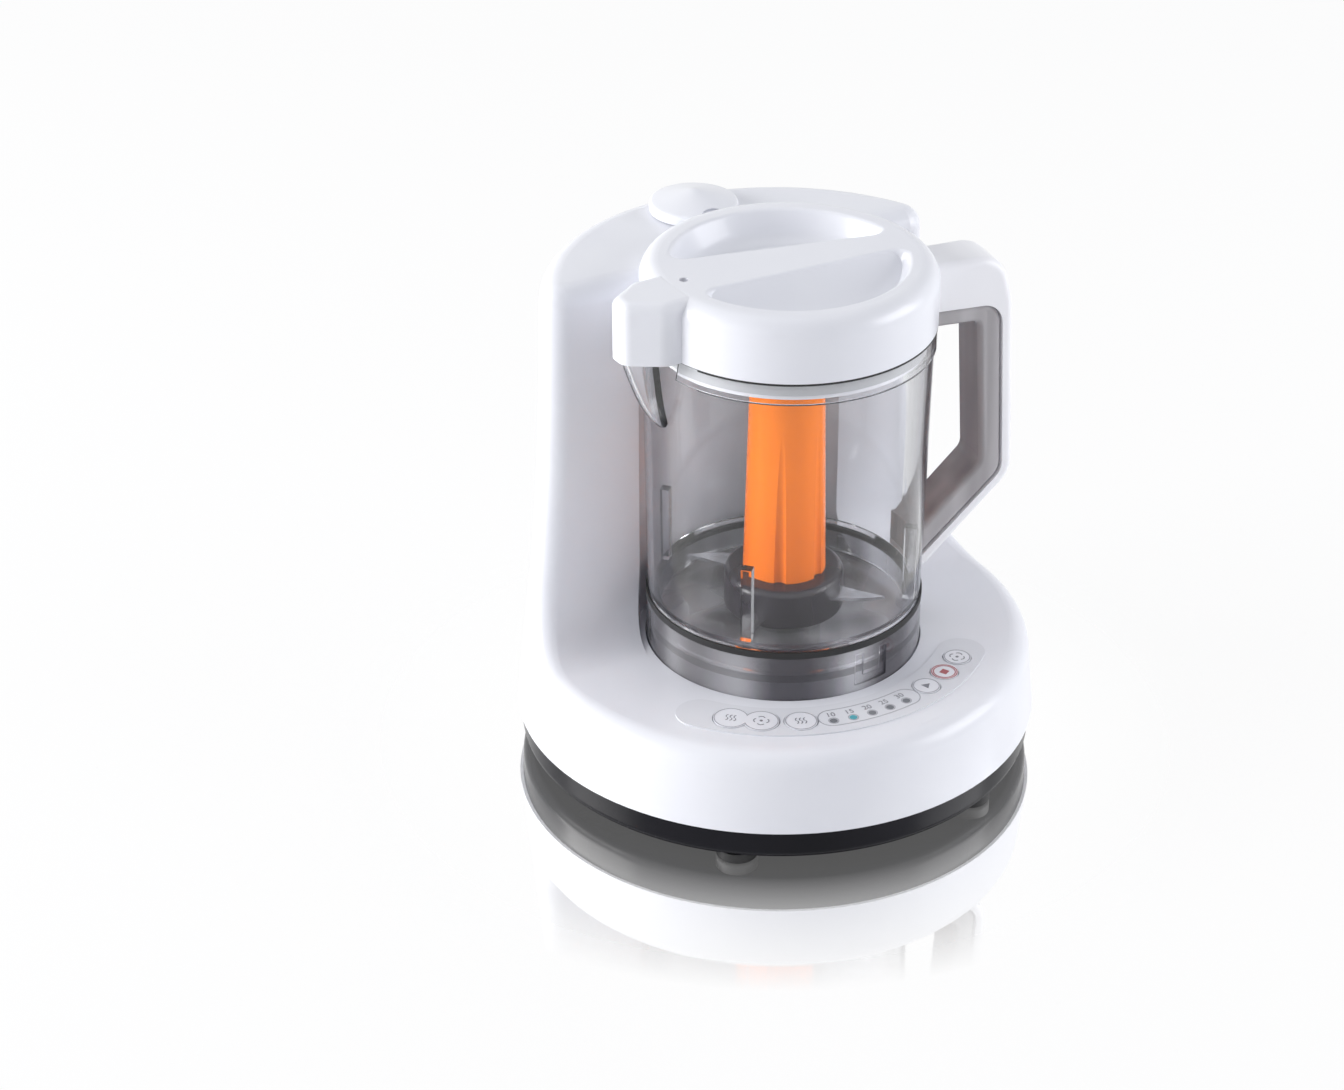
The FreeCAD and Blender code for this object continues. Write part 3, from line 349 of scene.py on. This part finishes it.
def make_materials():
    """Every look of the part, by the name under which it is used."""
    white = ((0.82, 0.83, 0.885), (0.86, 0.87, 0.915))
    smoke = (0.6, 0.6, 0.62)
    return {
        "white": moulded("white_housing", *white, 0.34,
                         more={"Coat Weight": 0.25, "Coat Roughness": 0.12}),
        "lid_white": moulded("white_lid", *white, 0.30, 700.0,
                             more={"Coat Weight": 0.3, "Coat Roughness": 0.1}),
        "cover_white": moulded("white_cover", (0.92, 0.92, 0.955), (0.95, 0.95, 0.975), 0.30, 700.0),
        "pan": moulded("dark_pan", (0.007, 0.007, 0.010), (0.012, 0.012, 0.017), 0.22,
                       more={"Specular IOR Level": 0.1}),
        "rubber": moulded("black_rubber", (0.012, 0.012, 0.013), (0.022, 0.022, 0.024), 0.6, 600.0),
        # Dark colour of the painted shade under the jar rim's bead
        "edge": moulded("painted_bead_shade", (0.05, 0.05, 0.06), (0.07, 0.07, 0.085), 0.3, 600.0),
        "silicone": moulded("pale_silicone", (0.50, 0.51, 0.54), (0.58, 0.59, 0.61), 0.5, 500.0),
        "inner": moulded("inner_plastic", (0.60, 0.60, 0.60), (0.66, 0.66, 0.66), 0.5, 500.0),
        "boss": moulded("dark_boss", (0.016, 0.013, 0.020), (0.026, 0.022, 0.030), 0.28, 600.0, 0.00001),
        "orange": moulded("orange_hub", (0.80, 0.165, 0.003), (0.86, 0.20, 0.006), 0.25, 700.0,
                          more={"Specular IOR Level": 0.15}),
        "film": moulded("panel_film", (0.74, 0.75, 0.80), (0.78, 0.79, 0.83), 0.42, 1400.0, 0.00002),
        "print": moulded("grey_print", (0.20, 0.20, 0.23), (0.26, 0.26, 0.29), 0.5, 1400.0, 0.00001),
        "fine_print": moulded("pale_print", (0.36, 0.36, 0.40), (0.42, 0.42, 0.46), 0.5, 1400.0, 0.00001),
        "red_print": moulded("red_print", (0.38, 0.10, 0.11), (0.46, 0.13, 0.14), 0.5, 1400.0, 0.00001),
        "board": moulded("green_board", (0.02, 0.12, 0.05), (0.03, 0.16, 0.07), 0.4, 400.0),
        "copper": moulded("copper_winding", (0.45, 0.16, 0.06), (0.55, 0.21, 0.09), 0.35, 300.0, 0.0002),
        "light_off": moulded("light_off", (0.17, 0.18, 0.20), (0.23, 0.24, 0.26), 0.2),
        "light_on": moulded("light_on", (0.07, 0.30, 0.36), (0.09, 0.36, 0.42), 0.2,
                            more={"Emission Color": (0.02, 0.45, 0.55, 1), "Emission Strength": 0.12}),
        "steel": brushed("blade_steel", (0.55, 0.56, 0.58), (0.68, 0.69, 0.71), 0.22, (1, 1, 12)),
        "can_steel": brushed("can_steel", (0.42, 0.43, 0.45), (0.55, 0.56, 0.58), 0.35, (1, 1, 14)),
        "alloy": brushed("cast_alloy", (0.55, 0.55, 0.56), (0.62, 0.62, 0.63), 0.42, (1, 1, 1)),
        "brass": brushed("brass_bush", (0.60, 0.42, 0.16), (0.68, 0.49, 0.21), 0.3, (1, 1, 8)),
        # The third colour of each clear look below is the painted shade where its wall is seen on edge
        "jar": see_through("clear_jar", (0.975, 0.98, 0.99), (0.985, 0.99, 0.995), (0.20, 0.20, 0.24),
                           0.03, 1.0, (0.985, 0.985, 0.99), 6.0),
        "smoky": see_through("smoky_collar", (0.26, 0.25, 0.27), (0.98, 0.98, 1.0), (0.08, 0.08, 0.10),
                             0.07, 0.75, smoke, 30.0, (1, 1, 0.02), STREAKS),
        "grip": see_through("smoky_grip", (0.30, 0.28, 0.29), (0.90, 0.88, 0.90), (0.28, 0.27, 0.29),
                            0.09, 0.3, smoke, 20.0, (3, 3, 0.02)),
    }


def dress_solids(looks):
    """A finish for each solid of the frame."""
    finish = {
        "white": ["upper_housing", "button_steam_blend", "button_steam", "button_start", "button_stop",
                  "button_blend"],
        "cover_white": ["handle_cover"],
        "lid_white": ["lid", "reservoir_cap"],
        "pan": ["bottom_pan"],
        "boss": ["boss_disc", "blade_socket", "drive_coupling", "motor_flange"],
        "rubber": ["foot_front_left", "foot_front_right", "foot_rear_left", "foot_rear_right", "seal_ring",
                   "shaft_seal", "cord_gland", "cap_seal"],
        "silicone": ["lid_gasket", "steam_seal"],
        "inner": ["filler_neck", "cap_plug", "steam_pipe"],
        "steel": ["lower_blade", "upper_blade", "blade_spindle", "motor_shaft"],
        "can_steel": ["housing_screw_1", "housing_screw_2", "housing_screw_3", "housing_screw_4",
                      "motor_can", "rotor_core", "boiler_stand", "thermostat"],
        "alloy": ["boiler_tank", "heating_plate"],
        "brass": ["bowl_bushing"],
        "copper": ["motor_stator"],
        "board": ["control_board"],
        "film": ["control_panel"],
        "light_off": ["timer_light_1", "timer_light_3", "timer_light_4", "timer_light_5"],
        "light_on": ["timer_light_2"],
        "smoky": ["collar"],
        "grip": ["handle_grip"],
        "jar": ["jar"],
        "orange": ["blade_hub"],
    }
    for look, names in finish.items():
        for name in names:
            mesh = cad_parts[name].data
            mesh.materials.clear()
            mesh.materials.append(looks[look])


# Print on the control panel

def flat_ring(centre, radius, width, name, body, material):
    """A thin printed ring: a disc, inset, opened in the middle and given its thickness."""
    nothing_selected()
    bpy.ops.mesh.primitive_circle_add(vertices=LIGHT_RING_CORNERS, radius=radius, fill_type="NGON",
                                      location=centre)
    ring = bpy.context.object
    bpy.ops.object.mode_set(mode="EDIT")
    bpy.ops.mesh.select_mode(type="FACE")
    bpy.ops.mesh.select_all(action="SELECT")
    bpy.ops.mesh.inset(thickness=width)
    bpy.ops.mesh.delete(type="FACE")
    thicken(PRINT_THICKNESS)
    bpy.ops.object.mode_set(mode="OBJECT")
    return settle(ring, name, body, material)


def printed_word(text, centre, angle, size, name, body, material):
    """Plain digits, laid flat and turned to follow the panel."""
    nothing_selected()
    bpy.ops.object.text_add(location=centre, rotation=(0, 0, math.radians(angle)))
    words = bpy.context.object
    words.data.body = text
    words.data.size = size
    words.data.align_x = "CENTER"
    words.data.align_y = "CENTER"
    words.data.extrude = PRINT_THICKNESS / 2
    bpy.ops.object.convert(target="MESH")
    return settle(bpy.context.object, name, body, material)


def swept_line(pivot, radius, width, start, sweep, thickness=PRINT_THICKNESS):
    """A flat line: a short edge spun about a pivot, from an angle counted from the front."""
    line = lone_edge(width, pivot + front_point(radius, start, 0), math.radians(start - 90))
    steps = max(LEAST_STEPS, round(abs(sweep) / SWEEP_STEP))
    bpy.ops.mesh.spin(steps=steps, angle=math.radians(-sweep), center=pivot, axis=(0, 0, 1))
    bpy.ops.mesh.select_all(action="SELECT")
    bpy.ops.mesh.remove_doubles(threshold=WELD)
    thicken(thickness)
    bpy.ops.object.mode_set(mode="OBJECT")
    return line


def flat_sign(corners, radius, place, turn):
    """A filled printed sign with a few corners, such as a triangle or a square."""
    nothing_selected()
    bpy.ops.mesh.primitive_circle_add(vertices=corners, radius=radius, fill_type="NGON", location=place,
                                      rotation=(0, 0, math.radians(turn)))
    sign = bpy.context.object
    bpy.ops.object.mode_set(mode="EDIT")
    thicken(PRINT_THICKNESS)
    bpy.ops.object.mode_set(mode="OBJECT")
    return sign


def steam_lines(centre, angle):
    """Three wavy lines for steam, each of two opposed arcs."""
    lines = []
    for step in (-1, 0, 1):
        for half, side in ((-1, 1), (1, -1)):
            along = Vector((step * WAVE_GAP - side * WAVE_SHIFT, half * WAVE_RISE, 0))
            pivot = centre + Matrix.Rotation(math.radians(angle), 3, "Z") @ along
            start = angle + side * 90 - WAVE_SWEEP / 2
            lines.append(swept_line(pivot, WAVE_RADIUS, KEY_LINE, start, WAVE_SWEEP))
    return lines


def blade_lines(centre, angle):
    """Bowed lines round a dot for blending."""
    lines = [flat_sign(DOT_CORNERS, DOT_RADIUS, centre, 0)]
    for index in range(BLADE_COUNT):
        turn = angle + index * 360 / BLADE_COUNT
        pivot = centre + front_point(BLADE_REACH, turn, 0)
        lines.append(swept_line(pivot, BLADE_RADIUS, BLADE_LINE, turn + BLADE_START, BLADE_SWEEP))
    return lines


def key_outline(centre, radius, other=None):
    """Outline of a round key, open where it meets its other half."""
    if other is None:
        return [swept_line(centre, radius, KEY_LINE, 0, 360)]
    gap = other - centre
    toward = math.degrees(math.atan2(gap.x, -gap.y))
    open_half = math.degrees(math.acos(gap.length / 2 / radius))
    return [swept_line(centre, radius, KEY_LINE, toward + open_half, 360 - 2 * open_half)]


def print_double_key(looks):
    left, right = (DOUBLE_KEY_ANGLE + side * DOUBLE_KEY_HALF for side in (-1, 1))
    steam, blend = (front_point(PANEL_RADIUS, angle, KEY_TOP) for angle in (left, right))
    lines = key_outline(steam, DOUBLE_KEY_RADIUS, blend) + key_outline(blend, DOUBLE_KEY_RADIUS, steam)
    settle(joined(lines), "key_ring_steam_blend", "key_steam_blend", looks["fine_print"])
    signs = steam_lines(steam, left) + blade_lines(blend, right)
    settle(joined(signs), "key_sign_steam_blend", "key_steam_blend", looks["print"])


def key_sign(name, centre, angle):
    if name == "steam":
        return steam_lines(centre, angle)
    if name == "blend":
        return blade_lines(centre, angle)
    corners, turn = (3, -90) if name == "start" else (4, -45)
    return [flat_sign(corners, SIGN_RADIUS, centre, angle + turn)]


def print_round_keys(looks):
    for name, angle, radius, look in ROUND_KEYS:
        centre = front_point(PANEL_RADIUS, angle, KEY_TOP)
        lines = key_outline(centre, (radius - KEY_INSET) * MM)
        if name == "stop":
            lines += key_outline(centre, (radius - INNER_KEY_INSET) * MM)
        settle(joined(lines), "key_ring_" + name, "key_" + name, looks[look])
        signs = key_sign(name, centre, angle)
        sign_look = "red_print" if name == "stop" else "print"
        settle(joined(signs), "key_sign_" + name, "key_" + name, looks[sign_look])


def print_timer(looks):
    for angle, minutes in zip(LIGHT_ANGLES, MINUTES):
        place = front_point(LIGHT_RADIUS - MINUTES_INWARD, angle, FILM_TOP + PRINT_THICKNESS / 2)
        printed_word(minutes, place, angle, MINUTES_SIZE, "minutes_" + minutes, "base_unit", looks["print"])
        ring_place = front_point(LIGHT_RADIUS, angle, FILM_TOP)
        flat_ring(ring_place, LIGHT_RING_RADIUS, TIMER_LINE, "light_ring_" + minutes, "base_unit",
                  looks["fine_print"])
    axis = Vector((0, 0, FILM_TOP))
    ring = LIGHT_RADIUS - TIMER_INWARD
    first, last = LIGHT_ANGLES[0], LIGHT_ANGLES[-1] + TIMER_MARGIN
    lines = [swept_line(axis, ring + side * TIMER_HALF, TIMER_LINE, first, last - first) for side in (-1, 1)]
    for end, sweep in ((first, -180), (last, 180)):
        lines.append(swept_line(front_point(ring, end, FILM_TOP), TIMER_HALF, TIMER_LINE, end, sweep))
    settle(joined(lines), "timer_outline", "base_unit", looks["fine_print"])


# Painted shade lines at the jar's rim

def rim_arcs(radius, width, low, thickness):
    """Two arcs round the bowl's axis that leave the spout and the handle free."""
    axis = Vector((0, BOWL_Y, low))
    return joined([swept_line(axis, radius, width, start, sweep, thickness) for start, sweep in RIM_ARCS])


def paint_rim_shade(looks):
    # Painted shadow: a thin black arc where the gap under the lid's edge lies in shade, riding on the seal's
    # body
    gap_shade = rim_arcs(GAP_SHADE_RADIUS, GAP_SHADE_WIDTH, GAP_SHADE_LOW, GAP_SHADE_HEIGHT)
    settle(gap_shade, "lid_gap_painted_shadow", "lid_seal", looks["rubber"])
    # Painted shade: a thin dark arc along the lower edge of the rim's bead, riding on the jar's body
    line = rim_arcs(BEAD_SHADE_RADIUS, BEAD_SHADE_WIDTH, BEAD_SHADE_LOW, BEAD_SHADE_HEIGHT)
    settle(line, "jar_bead_painted_shade", "jar_body", looks["edge"])


# Soft slopes of the lid's grip bar

def cut_to_disc(piece, radius, low, high):
    """Keep only what lies within a round disc about the bowl's axis."""
    nothing_selected()
    bpy.ops.mesh.primitive_cylinder_add(vertices=SLOPE_DISC_CORNERS, radius=radius, depth=high - low,
                                        location=(0, BOWL_Y, (low + high) / 2))
    disc = bpy.context.object
    keep = piece.modifiers.new("disc", "BOOLEAN")
    keep.operation = "INTERSECT"
    keep.object = disc
    only_selected(piece)
    bpy.ops.object.modifier_apply(modifier=keep.name)
    nothing_selected()
    disc.select_set(True)
    bpy.ops.object.delete()


def bar_slope(side, name, looks):
    """A hollow slope from the bar's edge down to the hollow's floor: an edge spun about a far axis."""
    taper = side * (BAR_WIDE - BAR_NARROW) / (2 * SCOOP_RADIUS)
    turn = math.atan(-taper)
    along = Vector((math.cos(turn), math.sin(turn), 0))
    across = Vector((-math.sin(turn), math.cos(turn), 0))
    away = across * side
    edge = Vector((0, BOWL_Y + side * (BAR_WIDE + BAR_NARROW) / 2, SCOOP_FLOOR))
    drop = SLOPE_RADIUS * math.cos(SLOPE_TURN)
    reach = SLOPE_RADIUS * math.sin(SLOPE_TURN)
    start = edge - away * SLOPE_INSET + Vector((0, 0, SLOPE_RADIUS - drop))
    pivot = start + away * reach + Vector((0, 0, drop))
    slope = lone_edge(2 * SCOOP_RADIUS, start + across * SCOOP_RADIUS, turn)
    bpy.ops.mesh.spin(steps=SLOPE_STEPS, angle=-side * SLOPE_TURN, center=pivot, axis=along)
    thicken(-SCOOP_DEPTH)
    bpy.ops.mesh.bisect(plane_co=(0, 0, SCOOP_FLOOR - SLOPE_ROOT), plane_no=(0, 0, 1), use_fill=True,
                        clear_inner=True)
    bpy.ops.object.mode_set(mode="OBJECT")
    cut_to_disc(slope, SLOPE_DISC, SCOOP_FLOOR - SCOOP_DEPTH, SCOOP_FLOOR + 2 * SCOOP_DEPTH)
    only_selected(slope)
    bpy.ops.object.shade_smooth_by_angle(angle=SMOOTH_ANGLE)
    settle(slope, name, "lid_body", looks["lid_white"])


# Stage, light and camera

def seen_rays(tree):
    """1 for what the camera sees directly, in a mirror or through clear plastic, else 0."""
    path = tree.nodes.new("ShaderNodeLightPath")
    value = path.outputs["Is Camera Ray"]
    for ray in ("Is Glossy Ray", "Is Transmission Ray"):
        larger = tree.nodes.new("ShaderNodeMath")
        larger.operation = "MAXIMUM"
        tree.links.new(value, larger.inputs[0])
        tree.links.new(path.outputs[ray], larger.inputs[1])
        value = larger.outputs["Value"]
    return value


def mixed(tree, share, first, second):
    """Two shaders, the second by its share."""
    mix = tree.nodes.new("ShaderNodeMixShader")
    tree.links.new(share, mix.inputs["Fac"])
    tree.links.new(first, mix.inputs[1])
    tree.links.new(second, mix.inputs[2])
    return mix.outputs["Shader"]


def stage_material():
    """White sweep that keeps the shadow and mirrors the foot of the object softly."""
    material, tree, shader = new_material("white_sweep")
    shader.inputs["Base Color"].default_value = SWEEP_COLOUR
    shader.inputs["Roughness"].default_value = SWEEP_ROUGH
    place = tree.nodes.new("ShaderNodeTexCoord")
    length = tree.nodes.new("ShaderNodeVectorMath")
    length.operation = "LENGTH"
    tree.links.new(place.outputs["Object"], length.inputs[0])
    fade = tree.nodes.new("ShaderNodeMapRange")
    fade.inputs["From Min"].default_value = MIRROR_FULL
    fade.inputs["From Max"].default_value = MIRROR_END
    fade.inputs["To Min"].default_value = MIRROR_SHARE
    fade.inputs["To Max"].default_value = 0.0
    tree.links.new(length.outputs["Value"], fade.inputs["Value"])
    glow = tree.nodes.new("ShaderNodeEmission")
    glow.inputs["Strength"].default_value = 1.0
    share = tree.nodes.new("ShaderNodeMath")
    share.operation = "MULTIPLY"
    share.inputs[1].default_value = SWEEP_GLOW
    tree.links.new(seen_rays(tree), share.inputs[0])
    lit = mixed(tree, share.outputs["Value"], shader.outputs["BSDF"], glow.outputs["Emission"])
    mirror = tree.nodes.new("ShaderNodeBsdfGlossy")
    mirror.inputs["Roughness"].default_value = MIRROR_ROUGH
    mirror.inputs["Color"].default_value = WHITE
    both = mixed(tree, fade.outputs["Result"], lit, mirror.outputs["BSDF"])
    tree.links.new(both, tree.nodes["Material Output"].inputs["Surface"])
    return material


def make_stage():
    nothing_selected()
    bpy.ops.mesh.primitive_plane_add(size=SWEEP_SIZE, location=(0, 0, SWEEP_LOW))
    sweep = bpy.context.object
    bpy.ops.object.transform_apply(location=True)
    sweep.name = "sweep"
    sweep.data.materials.append(stage_material())


def make_world():
    """Studio light, brighter from both sides than from front and rear, on a white background."""
    world = bpy.data.worlds.new("studio")
    bpy.context.scene.world = world
    world.use_nodes = True
    tree = world.node_tree
    plain = tree.nodes["Background"]
    plain.inputs["Color"].default_value = WORLD_COLOUR
    place = tree.nodes.new("ShaderNodeTexCoord")
    split = tree.nodes.new("ShaderNodeSeparateXYZ")
    tree.links.new(place.outputs["Generated"], split.inputs["Vector"])
    sideways = tree.nodes.new("ShaderNodeMath")
    sideways.operation = "ABSOLUTE"
    tree.links.new(split.outputs["X"], sideways.inputs[0])
    glow = tree.nodes.new("ShaderNodeMapRange")
    glow.inputs["To Min"].default_value = WORLD_FRONT
    glow.inputs["To Max"].default_value = WORLD_SIDES
    tree.links.new(sideways.outputs["Value"], glow.inputs["Value"])
    tree.links.new(glow.outputs["Result"], plain.inputs["Strength"])
    white = tree.nodes.new("ShaderNodeBackground")
    white.inputs["Color"].default_value = WHITE
    both = mixed(tree, seen_rays(tree), plain.outputs["Background"], white.outputs["Background"])
    tree.links.new(both, tree.nodes["World Output"].inputs["Surface"])


def soft_box(name, place, aim, width, height, power, colour):
    nothing_selected()
    bpy.ops.object.light_add(type="AREA", location=place)
    lamp = bpy.context.object
    lamp.name = name
    lamp.data.shape = "RECTANGLE"
    lamp.data.size = width
    lamp.data.size_y = height
    lamp.data.energy = power
    lamp.data.color = colour
    lamp.rotation_euler = (Vector(aim) - Vector(place)).to_track_quat("-Z", "Y").to_euler()


def make_camera():
    """Camera at the photograph's angle, with its slight roll and its off-centre framing."""
    level = math.cos(CAMERA_ELEVATION)
    back = Vector((math.sin(CAMERA_AZIMUTH) * level, -math.cos(CAMERA_AZIMUTH) * level,
                   math.sin(CAMERA_ELEVATION)))
    right = Vector((math.cos(CAMERA_AZIMUTH), math.sin(CAMERA_AZIMUTH), 0))
    above = back.cross(right)
    nothing_selected()
    bpy.ops.object.camera_add()
    camera = bpy.context.object
    turn = Matrix((right, above, back)).transposed() @ Matrix.Rotation(CAMERA_ROLL, 3, "Z")
    camera.matrix_world = Matrix.Translation(CAMERA_TARGET + back * CAMERA_DISTANCE) @ turn.to_4x4()
    camera.data.sensor_width = CAMERA_SENSOR
    camera.data.lens = CAMERA_LENS
    camera.data.shift_x, camera.data.shift_y = CAMERA_SHIFT
    bpy.context.scene.camera = camera


looks = make_materials()
dress_solids(looks)
print_timer(looks)
print_double_key(looks)
print_round_keys(looks)
paint_rim_shade(looks)
bar_slope(-1, "bar_slope_front", looks)
bar_slope(1, "bar_slope_rear", looks)
make_stage()
make_world()
for box in SOFT_BOXES:
    soft_box(*box)
make_camera()
bpy.context.scene.view_settings.view_transform = "Standard"
